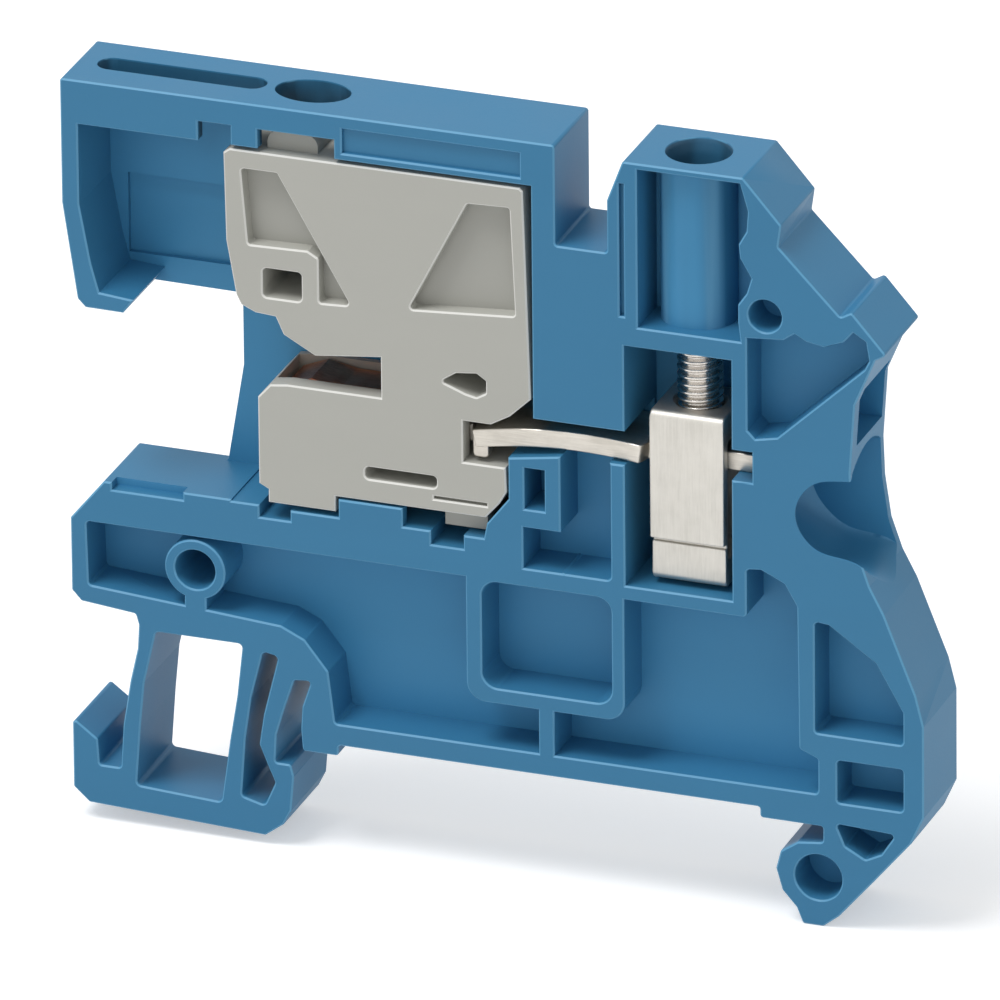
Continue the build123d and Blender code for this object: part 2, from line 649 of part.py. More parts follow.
with BuildPart() as clamp_screw:
    tip_z = BAR_TOP + SCREW_TIP_GAP
    head_top = SEAT_TOP + SCREW_HEAD_HEIGHT
    with BuildSketch(Plane.XZ):
        with BuildLine():
            Polyline(
                (SCREW_X, tip_z),
                (SCREW_X + SCREW_SHANK - SCREW_CHAMFER, tip_z),
                (SCREW_X + SCREW_SHANK, tip_z + SCREW_CHAMFER),
                (SCREW_X + SCREW_SHANK, SEAT_TOP),
                (SCREW_X + SCREW_HEAD, SEAT_TOP),
                (SCREW_X + SCREW_HEAD, head_top - SCREW_CHAMFER),
                (SCREW_X + SCREW_HEAD - SCREW_CHAMFER, head_top),
                (SCREW_X, head_top),
                close=True,
            )
        make_face()
    revolve(axis=Axis((SCREW_X, 0, 0), (0, 0, 1)))
    with BuildSketch(Plane.XY.offset(head_top)):
        with Locations((SCREW_X, 0)):
            Rectangle(2 * SCREW_HEAD + 1, SLOT_WIDTH)
    extrude(amount=-SLOT_DEPTH, mode=Mode.SUBTRACT)
clamp_screw.part.label = "clamp_screw"

os.makedirs("parts", exist_ok=True)
for piece in [housing, disconnect_slider, contact_fork, fork_spring, current_bar, clamp_sleeve, clamp_screw]:
    export_step(piece.part, "parts/" + piece.part.label + ".step")
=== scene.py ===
"""Dresses a slim rail-mounted terminal block with a sliding neutral disconnect.

The solids come from the frame and keep their places. Each sub-assembly is a class that holds its sizes,
builds the pieces that need finer shapes than the solids have, and gives every piece its finish.
All lengths are metres in the frame of the part: +X along the block, +Y through its width, +Z up.
"""

from __future__ import annotations

import json
import logging
import math
from dataclasses import dataclass, field
from enum import Enum

import bmesh
import bpy
import numpy as np
from mathutils import Matrix, Vector

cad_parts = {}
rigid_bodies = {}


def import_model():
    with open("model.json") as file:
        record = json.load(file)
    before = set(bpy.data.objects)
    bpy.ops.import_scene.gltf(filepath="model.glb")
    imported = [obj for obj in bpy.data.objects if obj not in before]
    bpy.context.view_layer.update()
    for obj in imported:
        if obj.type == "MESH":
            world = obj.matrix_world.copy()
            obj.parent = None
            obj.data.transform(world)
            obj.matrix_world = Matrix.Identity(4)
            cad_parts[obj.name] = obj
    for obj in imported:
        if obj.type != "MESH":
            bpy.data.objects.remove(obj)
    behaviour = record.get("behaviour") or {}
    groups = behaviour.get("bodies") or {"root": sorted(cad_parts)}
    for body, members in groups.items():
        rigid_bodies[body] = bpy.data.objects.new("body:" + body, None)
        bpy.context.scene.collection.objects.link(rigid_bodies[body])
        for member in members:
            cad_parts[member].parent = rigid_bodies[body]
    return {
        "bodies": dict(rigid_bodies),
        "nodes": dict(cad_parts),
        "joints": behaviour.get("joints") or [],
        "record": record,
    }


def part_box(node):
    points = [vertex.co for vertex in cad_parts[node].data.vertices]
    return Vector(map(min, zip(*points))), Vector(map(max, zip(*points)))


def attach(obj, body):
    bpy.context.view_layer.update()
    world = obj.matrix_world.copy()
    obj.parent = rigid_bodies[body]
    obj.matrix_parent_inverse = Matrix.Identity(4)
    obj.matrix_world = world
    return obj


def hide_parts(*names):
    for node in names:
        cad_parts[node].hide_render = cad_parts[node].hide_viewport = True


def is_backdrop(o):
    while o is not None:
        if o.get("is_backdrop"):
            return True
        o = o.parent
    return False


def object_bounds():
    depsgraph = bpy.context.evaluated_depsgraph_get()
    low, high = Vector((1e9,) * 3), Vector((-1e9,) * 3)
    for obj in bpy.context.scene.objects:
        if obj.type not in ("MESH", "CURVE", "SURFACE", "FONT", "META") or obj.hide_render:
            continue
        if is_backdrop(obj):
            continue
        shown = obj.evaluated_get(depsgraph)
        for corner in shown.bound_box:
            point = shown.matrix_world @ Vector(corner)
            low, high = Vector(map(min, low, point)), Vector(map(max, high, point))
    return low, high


MM = 0.001
BUMP_DEPTH = 0.01 * MM

log = logging.getLogger("terminal_block")


class Body(Enum):
    """The bodies that new pieces ride on."""

    BLOCK = "block"
    SCREW = "screw"
    SLEEVE = "sleeve"


class Axis(Enum):
    """The axis along which a rolled or drawn metal shows its lines."""

    X = (1.0, 0.0, 0.0)
    Y = (0.0, 1.0, 0.0)
    Z = (0.0, 0.0, 1.0)


def linear(red: int, green: int, blue: int) -> tuple[float, float, float, float]:
    """Turns a screen colour into the linear colour that a shader takes.

    Args:
        red: Red, 0 to 255.
        green: Green, 0 to 255.
        blue: Blue, 0 to 255.

    Returns:
        Linear red, green, blue and an alpha of 1, where c' = ((c + 0.055) / 1.055) ** 2.4 above 0.04045
        and c' = c / 12.92 below it.
    """
    values = np.array([red, green, blue]) / 255.0
    curve = np.where(values > 0.04045, ((values + 0.055) / 1.055) ** 2.4, values / 12.92)
    return (*curve.tolist(), 1.0)


# Meshes


def mesh_object(name: str, points: np.ndarray, faces: list[tuple[int, ...]]) -> bpy.types.Object:
    """Puts points and faces into a new object of the scene.

    Args:
        name: Name of the object.
        points: Array of shape (n, 3), in metres.
        faces: Corner numbers of each face.

    Returns:
        The new object, at the origin.
    """
    mesh = bpy.data.meshes.new(name)
    mesh.from_pydata(points.tolist(), [], faces)
    mesh.update()
    piece = bpy.data.objects.new(name, mesh)
    bpy.context.scene.collection.objects.link(piece)
    return piece


def grid_faces(rows: int, columns: int, wrap_rows: bool, wrap_columns: bool) -> list[tuple[int, ...]]:
    """Lists the four-cornered faces of a grid of points.

    Args:
        rows: Number of rows.
        columns: Number of points in a row.
        wrap_rows: Whether the last row joins the first.
        wrap_columns: Whether the last point of a row joins its first.

    Returns:
        Faces (i, j), (i, j+1), (i+1, j+1), (i+1, j), with numbers i * columns + j.
    """
    i, j = np.meshgrid(
        np.arange(rows if wrap_rows else rows - 1),
        np.arange(columns if wrap_columns else columns - 1),
        indexing="ij",
    )
    below, beside = (i + 1) % rows, (j + 1) % columns
    corners = np.stack(
        [i * columns + j, i * columns + beside, below * columns + beside, below * columns + j],
        axis=-1,
    )
    return [tuple(face) for face in corners.reshape(-1, 4).tolist()]


def capped_tube_faces(rings: int, around: int) -> list[tuple[int, ...]]:
    """Lists the faces of a row of rings that is closed at both ends.

    Args:
        rings: Number of rings.
        around: Points on a ring.

    Returns:
        The four-cornered faces between the rings, and one face across each end.
    """
    last = rings * around
    ends = [tuple(range(around)), tuple(range(last - 1, last - around - 1, -1))]
    return grid_faces(rings, around, False, True) + ends


def outward(piece: bpy.types.Object) -> None:
    """Merges the doubles of a closed mesh and turns its faces outwards.

    Args:
        piece: The object.
    """
    shell = bmesh.new()
    shell.from_mesh(piece.data)
    bmesh.ops.remove_doubles(shell, verts=shell.verts, dist=1e-7)
    bmesh.ops.recalc_face_normals(shell, faces=shell.faces)
    shell.to_mesh(piece.data)
    shell.free()


def smooth(piece: bpy.types.Object, angle_deg: float) -> None:
    """Shades a mesh smooth, with its edges above an angle left sharp.

    Args:
        piece: The object.
        angle_deg: Edges whose faces turn by more than this stay sharp.
    """
    piece.data.shade_smooth()
    piece.data.set_sharp_from_angle(angle=math.radians(angle_deg))


def cut(piece: bpy.types.Object, cutter: bpy.types.Object) -> None:
    """Cuts one closed mesh out of another and removes the cutter.

    Args:
        piece: The mesh that keeps its outside.
        cutter: The mesh whose space is taken away.
    """
    knife = piece.modifiers.new("cut", "BOOLEAN")
    knife.operation, knife.solver, knife.object = "DIFFERENCE", "EXACT", cutter
    shaped = piece.evaluated_get(bpy.context.evaluated_depsgraph_get())
    mesh = bpy.data.meshes.new_from_object(shaped)
    piece.modifiers.clear()
    piece.data = mesh
    mesh.name = piece.name
    bpy.data.objects.remove(cutter)


def lathe(
    name: str, centre: tuple[float, float], profile: list[tuple[float, float]], around: int
) -> bpy.types.Object:
    """Turns a profile round an upright axis.

    Args:
        name: Name of the object.
        centre: X and Y of the axis.
        profile: Pairs of radius and height from the bottom to the top, both ends on the axis.
        around: Points round the axis.

    Returns:
        The closed mesh with the points (x + r cos a, y + r sin a, z), where a goes once round.
    """
    radius, height = np.array(profile).T
    angle = np.linspace(0.0, 2.0 * math.pi, around, endpoint=False)
    ring, turn = np.meshgrid(radius, angle, indexing="ij")
    level = np.repeat(height[:, None], around, axis=1)
    points = np.stack([centre[0] + ring * np.cos(turn), centre[1] + ring * np.sin(turn), level], axis=-1)
    piece = mesh_object(name, points.reshape(-1, 3), grid_faces(len(profile), around, False, True))
    outward(piece)
    return piece


def rounded_loop(corners: list[tuple[float, float, float]], steps: int) -> np.ndarray:
    """Rounds the corners of a closed outline.

    Args:
        corners: Points u, v and the radius of each corner, in order round the outline.
        steps: Points on each corner.

    Returns:
        Array of shape (len(corners) * steps, 2). At a corner P with unit directions a and b to its
        neighbours, the arc runs between the points at t = r / tan(half the angle) along a and b, round
        the centre P + (a + b) * r / |a x b|.
    """
    spots = np.array([corner[:2] for corner in corners])
    radii = np.array([corner[2] for corner in corners])
    back = np.roll(spots, 1, axis=0) - spots
    ahead = np.roll(spots, -1, axis=0) - spots
    back /= np.linalg.norm(back, axis=1, keepdims=True)
    ahead /= np.linalg.norm(ahead, axis=1, keepdims=True)
    cross = np.abs(back[:, 0] * ahead[:, 1] - back[:, 1] * ahead[:, 0])
    half = np.arccos(np.clip(np.sum(back * ahead, axis=1), -1.0, 1.0)) / 2.0
    reach = radii / np.tan(half)
    centre = spots + (back + ahead) * (radii / cross)[:, None]
    start = spots + back * reach[:, None] - centre
    end = spots + ahead * reach[:, None] - centre
    share = np.linspace(0.0, 1.0, steps)[None, :, None]
    sweep = (math.pi - 2.0 * half)[:, None, None]
    blend = np.sin((1.0 - share) * sweep) * start[:, None, :] + np.sin(share * sweep) * end[:, None, :]
    return (centre[:, None, :] + blend / np.sin(sweep)).reshape(-1, 2)


def plan_centre(low: Vector, high: Vector) -> tuple[float, float]:
    """Gives X and Y of the middle of a box."""
    return (low.x + high.x) / 2.0, (low.y + high.y) / 2.0


def ease_edges(node: bpy.types.Object, radius: float, angle_deg: float = 35.0) -> None:
    """Rounds the sharp edges of a solid with live modifiers, which leave its mesh as it is.

    Args:
        node: The solid's object.
        radius: How far the rounding reaches from an edge.
        angle_deg: Edges whose faces turn by less than this stay as they are.
    """
    weld = node.modifiers.new("weld", "WELD")
    weld.merge_threshold = 1e-6
    bevel = node.modifiers.new("ease", "BEVEL")
    bevel.width = radius
    bevel.segments = 2
    bevel.limit_method = "ANGLE"
    bevel.angle_limit = math.radians(angle_deg)
    bevel.harden_normals = True


# Shader groups


@dataclass
class GroupMaker:
    """Builds a shader node group with named inputs and outputs."""

    name: str
    tree: bpy.types.ShaderNodeTree = field(init=False)

    def __post_init__(self) -> None:
        """Makes the empty group with its two end nodes."""
        self.tree = bpy.data.node_groups.new(self.name, "ShaderNodeTree")
        self.inlet = self.tree.nodes.new("NodeGroupInput")
        self.outlet = self.tree.nodes.new("NodeGroupOutput")

    def takes(self, name: str, kind: str, value: object) -> None:
        """Adds an input.

        Args:
            name: Name of the input.
            kind: Float, Color or Vector.
            value: Its value where nothing is set.
        """
        socket = self.tree.interface.new_socket(name, in_out="INPUT", socket_type="NodeSocket" + kind)
        socket.default_value = value

    def gives(self, name: str, kind: str, source: bpy.types.NodeSocket) -> None:
        """Adds an output and links it.

        Args:
            name: Name of the output.
            kind: Float, Color or Vector.
            source: The socket that it carries.
        """
        self.tree.interface.new_socket(name, in_out="OUTPUT", socket_type="NodeSocket" + kind)
        self.tree.links.new(source, self.outlet.inputs[name])

    def node(
        self, kind: str, links: dict[str, bpy.types.NodeSocket] | None = None, **values: object
    ) -> bpy.types.Node:
        """Adds a node.

        Args:
            kind: Type of the node, without its first words.
            links: Sockets that feed its inputs, by input name or number.
            values: Properties of the node, or numbers for its inputs with spaces written as underscores.

        Returns:
            The node.
        """
        made = self.tree.nodes.new("ShaderNode" + kind)
        for key, value in values.items():
            if hasattr(made, key):
                setattr(made, key, value)
            else:
                made.inputs[key.replace("_", " ")].default_value = value
        for key, source in (links or {}).items():
            self.tree.links.new(source, made.inputs[int(key)] if key.isdigit() else made.inputs[key])
        return made

    def math(
        self, operation: str, *operands: bpy.types.NodeSocket | float, clamp: bool = False
    ) -> bpy.types.NodeSocket:
        """Adds one step of arithmetic.

        Args:
            operation: Blender's name of the step.
            operands: Sockets or plain numbers, in the step's order.
            clamp: Whether the result is kept between 0 and 1.

        Returns:
            The result's socket.
        """
        step = self.node("Math", operation=operation, use_clamp=clamp)
        for place, operand in zip(step.inputs, operands):
            if isinstance(operand, bpy.types.NodeSocket):
                self.tree.links.new(operand, place)
            else:
                place.default_value = operand
        return step.outputs[0]

    def ramp(
        self, source: bpy.types.NodeSocket, ends: tuple[float, float], curve: str = "SMOOTHSTEP"
    ) -> bpy.types.NodeSocket:
        """Adds a rise from 0 to 1.

        Args:
            source: The socket that is read.
            ends: Its values where the rise starts and where it is full.
            curve: Blender's name of the rise's curve.

        Returns:
            The result's socket.
        """
        rise = self.node("MapRange", {"Value": source}, interpolation_type=curve)
        rise.inputs["From Min"].default_value, rise.inputs["From Max"].default_value = ends
        return rise.outputs[0]

    def noise(
        self, place: bpy.types.NodeSocket, scale: float, detail: float, roughness: float
    ) -> bpy.types.NodeSocket:
        """Adds a cloudy noise.

        Args:
            place: The coordinates that it is read at.
            scale: Clouds per unit of those coordinates.
            detail: Number of finer layers.
            roughness: Strength of the finer layers.

        Returns:
            The socket with its value from 0 to 1.
        """
        return self.node(
            "TexNoise", {"Vector": place}, Scale=scale, Detail=detail, Roughness=roughness
        ).outputs["Fac"]

    def scaled(self, colour: bpy.types.NodeSocket, factor: bpy.types.NodeSocket) -> bpy.types.NodeSocket:
        """Adds a colour times a factor."""
        return self.node("VectorMath", {"0": colour, "Scale": factor}, operation="SCALE").outputs[0]

    def blend(
        self, share: bpy.types.NodeSocket, first: bpy.types.NodeSocket, second: bpy.types.NodeSocket
    ) -> bpy.types.NodeSocket:
        """Adds a blend that goes from the first colour at a share of 0 to the second at 1."""
        return self.node("Mix", {"0": share, "6": first, "7": second}, data_type="RGBA").outputs[2]


@dataclass(frozen=True)
class Well:
    """A deep opening in a top face, from which little light comes back, so its walls get painted shade.

    Its plan is an ellipse drawn generously round the opening, and its walls run between two heights.
    """

    centre: tuple[float, float]
    reach: tuple[float, float]
    low: float
    top: float
    fade: float = 0.15 * MM

    def mask(self, maker: GroupMaker, place: bpy.types.NodeSocket) -> bpy.types.NodeSocket:
        """Tells the well's walls from the rest of the surface.

        Args:
            maker: The group that gets the nodes.
            place: The object's coordinates.

        Returns:
            A socket with (r < 1) * (z > low) * smoothstep((top - z) / fade), where r is the length of
            ((x - cx) / a, (y - cy) / b).
        """
        across, through = self.reach
        plan = maker.node("VectorMath", {"0": place}, operation="MULTIPLY_ADD")
        plan.inputs[1].default_value = (1.0 / across, 1.0 / through, 0.0)
        plan.inputs[2].default_value = (-self.centre[0] / across, -self.centre[1] / through, 0.0)
        radius = maker.node("VectorMath", {"0": plan.outputs[0]}, operation="LENGTH").outputs["Value"]
        height = maker.node("SeparateXYZ", {"Vector": place}).outputs["Z"]
        within = maker.math("LESS_THAN", radius, 1.0)
        above = maker.math("GREATER_THAN", height, self.low)
        depth = maker.ramp(height, (self.top, self.top - self.fade))
        return maker.math("MULTIPLY", maker.math("MULTIPLY", within, above), depth)


WELLS = (
    # Marker slot and test hole, in one ellipse
    Well(centre=(-21.3 * MM, 0.0), reach=(8.6 * MM, 2.8 * MM), low=39.3 * MM, top=42.1 * MM),
    # Screwdriver's tube
    Well(centre=(8.86 * MM, 0.0), reach=(2.2 * MM, 2.2 * MM), low=31.0 * MM, top=41.65 * MM),
)

# How far a normal leans to the front or back, from 0 to 1, where the painted rim highlight starts and is
# full, and where the plain faces' tone ends and is gone
RIM_HIGHLIGHT_LEAN = (0.45, 0.7)
FACE_LEAN = (0.95, 0.75)

# Place across the block from which a face counts as sunk and gets the painted recess shade, and where it
# does so fully
SUNK = (-2.8 * MM, -2.2 * MM)

# Streaks of the plastic's tone per metre along X, Y and Z
STREAKS = (40.0, 40.0, 260.0)

# How much rougher clouds and grain make the plastic, and dull patches the metal
CLOUDS_ROUGHEN = 0.16
GRAIN_ROUGHENS = 0.08
DULLNESS_ROUGHENS = 0.14

# Product of the metal's lines and clouds where its dull tone starts and is full
DULL_PATCHES = (0.14, 0.36)


def moulded_surface_group() -> bpy.types.ShaderNodeTree:
    """Builds the look that all moulded plastic shares.

    The tone drifts slowly over some 8 mm, and the fine spark-eroded grain is some 0.15 mm wide. The eased
    rim faces, which stand half-way between the front and the sides, get a painted highlight in a lighter
    tone.
    Floors that lie sunk behind the front get painted shade, a share darker, or painted light where the
    share is below zero. The walls of the wells in the top get painted shade, a share darker too, and no
    painted rim highlight.

    Returns:
        The group, with outputs Colour, Roughness and Height.
    """
    maker = GroupMaker("moulded_surface")
    maker.takes("Tone", "Color", (0.5, 0.5, 0.5, 1.0))
    maker.takes("Rim Highlight Tone", "Color", (0.7, 0.7, 0.7, 1.0))
    maker.takes("Recess Shade", "Float", 0.0)
    maker.takes("Well Shade", "Float", 0.0)
    maker.takes("Drift", "Float", 0.05)
    maker.takes("Base Roughness", "Float", 0.45)
    maker.takes("Grain", "Float", 0.1)
    given = maker.inlet.outputs
    surface = maker.node("TexCoord").outputs
    flow = maker.node("Mapping", {"Vector": surface["Object"]}, vector_type="POINT")
    flow.inputs["Scale"].default_value = STREAKS
    clouds = maker.noise(surface["Object"], scale=120.0, detail=2.0, roughness=0.5)
    streaks = maker.noise(flow.outputs["Vector"], scale=1.0, detail=3.0, roughness=0.6)
    grain = maker.noise(surface["Object"], scale=6500.0, detail=3.0, roughness=0.65)

    centred = maker.math("SUBTRACT", maker.math("ADD", clouds, streaks), 1.0)
    level = maker.math("ADD", maker.math("MULTIPLY", centred, given["Drift"]), 1.0)
    toned = maker.scaled(given["Tone"], level)

    lean = maker.math("ABSOLUTE", maker.node("SeparateXYZ", {"Vector": surface["Normal"]}).outputs["Y"])
    off_face = maker.ramp(lean, FACE_LEAN)
    # Painted highlight: the faces of the eased rim edges get a lighter tone
    rim_highlight = maker.math("MULTIPLY", maker.ramp(lean, RIM_HIGHLIGHT_LEAN), off_face)
    across = maker.node("SeparateXYZ", {"Vector": surface["Object"]}).outputs["Y"]
    # Painted shade on floors sunk behind the front, and painted light where Recess Shade is below zero
    floors = maker.math("SUBTRACT", maker.ramp(across, SUNK), off_face, clamp=True)
    # Painted shade on the walls of the wells in the top
    wells = maker.math("ADD", *(well.mask(maker, surface["Object"]) for well in WELLS))
    shade = maker.math("MULTIPLY", floors, given["Recess Shade"])
    dark = maker.math("MULTIPLY_ADD", wells, given["Well Shade"], shade)
    shaded = maker.scaled(toned, maker.math("SUBTRACT", 1.0, dark))
    rim_highlight_clear_of_wells = maker.math("SUBTRACT", rim_highlight, wells, clamp=True)

    dulled = maker.math("MULTIPLY_ADD", clouds, CLOUDS_ROUGHEN, given["Base Roughness"])
    maker.gives("Colour", "Color", maker.blend(rim_highlight_clear_of_wells, shaded, given["Rim Highlight Tone"]))
    maker.gives("Roughness", "Float", maker.math("MULTIPLY_ADD", grain, GRAIN_ROUGHENS, dulled))
    maker.gives("Height", "Float", maker.math("MULTIPLY", grain, given["Grain"]))
    return maker.tree


def worked_metal_group() -> bpy.types.ShaderNodeTree:
    """Builds the look that rolled, drawn and plated metal shares.

    Fine lines run along one axis: noise is read in a space that is stretched along the lines. A second,
    broad noise clouds the plating.

    Returns:
        The group, with outputs Colour, Roughness and Height.
    """
    maker = GroupMaker("worked_metal")
    maker.takes("Tone", "Color", (0.7, 0.7, 0.7, 1.0))
    maker.takes("Dull Tone", "Color", (0.5, 0.5, 0.5, 1.0))
    maker.takes("Stretch", "Vector", (1.0, 1.0, 1.0))
    maker.takes("Base Roughness", "Float", 0.3)
    maker.takes("Line Depth", "Float", 0.1)
    given = maker.inlet.outputs
    place = maker.node("TexCoord").outputs["Object"]
    along = maker.node("VectorMath", {"0": place, "1": given["Stretch"]}, operation="MULTIPLY")
    lines = maker.noise(along.outputs[0], scale=1.0, detail=5.0, roughness=0.7)
    clouds = maker.noise(place, scale=420.0, detail=4.0, roughness=0.6)
    dull = maker.ramp(maker.math("MULTIPLY", lines, clouds), DULL_PATCHES, "LINEAR")
    maker.gives("Colour", "Color", maker.blend(dull, given["Tone"], given["Dull Tone"]))
    roughness = maker.math("MULTIPLY_ADD", dull, DULLNESS_ROUGHENS, given["Base Roughness"])
    maker.gives("Roughness", "Float", roughness)
    maker.gives("Height", "Float", maker.math("MULTIPLY", lines, given["Line Depth"]))
    return maker.tree


# Finishes


def finish_with_group(
    name: str, group: bpy.types.ShaderNodeTree, values: dict[str, object], shader_values: dict[str, float]
) -> bpy.types.Material:
    """Makes a material whose colour, roughness and bump come from a group.

    Args:
        name: Name of the material.
        group: The shader group.
        values: Values of the group's inputs.
        shader_values: Plain values of the shader's own sockets.

    Returns:
        The material.
    """
    material = bpy.data.materials.new(name)
    material.use_nodes = True
    tree = material.node_tree
    shader = tree.nodes["Principled BSDF"]
    surface = tree.nodes.new("ShaderNodeGroup")
    surface.node_tree = group
    for key, value in values.items():
        surface.inputs[key].default_value = value
    for key, value in shader_values.items():
        shader.inputs[key].default_value = value
    bump = tree.nodes.new("ShaderNodeBump")
    bump.inputs["Strength"].default_value = 1.0
    bump.inputs["Distance"].default_value = BUMP_DEPTH
    tree.links.new(surface.outputs["Colour"], shader.inputs["Base Color"])
    tree.links.new(surface.outputs["Roughness"], shader.inputs["Roughness"])
    tree.links.new(surface.outputs["Height"], bump.inputs["Height"])
    tree.links.new(bump.outputs["Normal"], shader.inputs["Normal"])
    return material


@dataclass(frozen=True)
class MouldedPlastic:
    """A moulded plastic with its tones, roughness and grain, and the tones of its painted rim highlight and
    painted shade.
    """

    name: str
    tone: tuple[float, float, float, float]
    rim_highlight_tone: tuple[float, float, float, float]
    recess_shade: float
    well_shade: float
    drift: float
    roughness: float
    grain: float

    def material(self, group: bpy.types.ShaderNodeTree) -> bpy.types.Material:
        """Makes the material.

        Args:
            group: The shared look of moulded plastic.

        Returns:
            The material.
        """
        values = {
            "Tone": self.tone,
            "Rim Highlight Tone": self.rim_highlight_tone,
            "Recess Shade": self.recess_shade,
            "Well Shade": self.well_shade,
            "Drift": self.drift,
            "Base Roughness": self.roughness,
            "Grain": self.grain,
        }
        return finish_with_group(self.name, group, values, {"IOR": 1.5, "Specular IOR Level": 0.34})


@dataclass(frozen=True)
class WorkedMetal:
    """A rolled, drawn or turned metal, bare or plated."""

    name: str
    tone: tuple[float, float, float, float]
    dull_tone: tuple[float, float, float, float]
    lines_along: Axis
    roughness: float
    line_depth: float
    lines_per_metre: tuple[float, float] = (500.0, 9000.0)

    def material(self, group: bpy.types.ShaderNodeTree) -> bpy.types.Material:
        """Makes the material.

        Args:
            group: The shared look of worked metal.

        Returns:
            The material.
        """
        lengthways, crossways = self.lines_per_metre
        stretch = tuple(lengthways if along else crossways for along in self.lines_along.value)
        values = {
            "Tone": self.tone,
            "Dull Tone": self.dull_tone,
            "Stretch": stretch,
            "Base Roughness": self.roughness,
            "Line Depth": self.line_depth,
        }
        return finish_with_group(self.name, group, values, {"Metallic": 1.0})


BLUE_PLASTIC = MouldedPlastic(
    "blue_polyamide",
    tone=linear(57, 124, 164),
    # Rim tone: a painted highlight on the eased rim edges
    rim_highlight_tone=linear(94, 158, 196),
    # Recess shade below zero: painted light on the sunk floors
    recess_shade=-0.27,
    # Well shade: painted shade on the walls of the wells
    well_shade=0.62,
    drift=0.08,
    roughness=0.36,
    grain=0.5,
)
GREY_PLASTIC = MouldedPlastic(
    "grey_polyamide",
    tone=linear(184, 184, 177),
    # Rim tone: a painted highlight on the eased rim edges
    rim_highlight_tone=linear(226, 226, 221),
    # Recess shade: painted shade on the sunk floors
    recess_shade=0.13,
    well_shade=0.0,
    drift=0.05,
    roughness=0.42,
    grain=0.5,
)
COPPER = WorkedMetal(
    "bare_copper", linear(214, 150, 118), linear(176, 112, 84), Axis.X, roughness=0.28, line_depth=0.25
)
SPRING_STEEL = WorkedMetal(
    "spring_steel", linear(176, 174, 168), linear(128, 126, 122), Axis.X, roughness=0.26, line_depth=0.2
)
TINNED_BAR = WorkedMetal(
    "tinned_bar", linear(210, 205, 196), linear(190, 185, 176), Axis.X, roughness=0.3, line_depth=0.12
)
NICKEL_CAGE = WorkedMetal(
    "nickel_cage", linear(206, 203, 196), linear(197, 194, 187), Axis.Z, roughness=0.4, line_depth=0.04
)
ZINC_SCREW = WorkedMetal(
    "zinc_screw", linear(226, 222, 215), linear(204, 199, 194), Axis.Y, roughness=0.16, line_depth=0.01
)


@dataclass
class Finishes:
    """The made materials, by name of the record's slot."""

    materials: dict[str, bpy.types.Material] = field(default_factory=dict)

    def make(self) -> None:
        """Builds both groups once and every material from them."""
        plastic, metal = moulded_surface_group(), worked_metal_group()
        self.materials = {
            "blue_plastic": BLUE_PLASTIC.material(plastic),
            "grey_plastic": GREY_PLASTIC.material(plastic),
            "copper_contact": COPPER.material(metal),
            "spring_steel": SPRING_STEEL.material(metal),
            "plated_bar": TINNED_BAR.material(metal),
            "plated_sleeve": NICKEL_CAGE.material(metal),
            "plated_screw": ZINC_SCREW.material(metal),
        }

    def dress_node(self, node: bpy.types.Object, slot: str) -> None:
        """Puts a material into a solid's own slots.

        Args:
            node: The solid's object.
            slot: The record's slot.
        """
        for place in node.material_slots:
            place.material = self.materials[slot]
        log.info("%s wears %s", node.name, self.materials[slot].name)

    def dress_piece(self, piece: bpy.types.Object, slot: str, body: Body) -> None:
        """Gives a new piece its material, slot and body.

        Args:
            piece: The new piece.
            slot: The record's slot.
            body: The body that it rides on.
        """
        piece.data.materials.clear()
        piece.data.materials.append(self.materials[slot])
        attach(piece, body.value)
        log.info("%s rides on %s in %s", piece.name, body.value, self.materials[slot].name)


# Sub-assemblies


@dataclass
class HousingMoulding:
    """The blue body: one moulding with its sprung foot."""

    node_name: str = "housing"
    edge: float = 0.05 * MM

    def dress(self, frame: dict, finishes: Finishes) -> None:
        """Gives the solid its finish and eases its edges.

        Args:
            finishes: The made materials.
        """
        finishes.dress_node(frame["nodes"][self.node_name], "blue_plastic")
        ease_edges(frame["nodes"][self.node_name], self.edge)


@dataclass
class DisconnectSlider:
    """The grey slider with its fork and spring."""

    node_name: str = "disconnect_slider"
    edge: float = 0.05 * MM
    lip_edge: float = 0.08 * MM

    def dress(self, frame: dict, finishes: Finishes) -> None:
        """Gives the solids their finishes and eases the edges that show.

        Args:
            finishes: The made materials.
        """
        finishes.dress_node(frame["nodes"][self.node_name], "grey_plastic")
        finishes.dress_node(frame["nodes"]["contact_fork"], "copper_contact")
        finishes.dress_node(frame["nodes"]["fork_spring"], "spring_steel")
        ease_edges(frame["nodes"]["contact_fork"], self.lip_edge)
        ease_edges(frame["nodes"][self.node_name], self.edge)


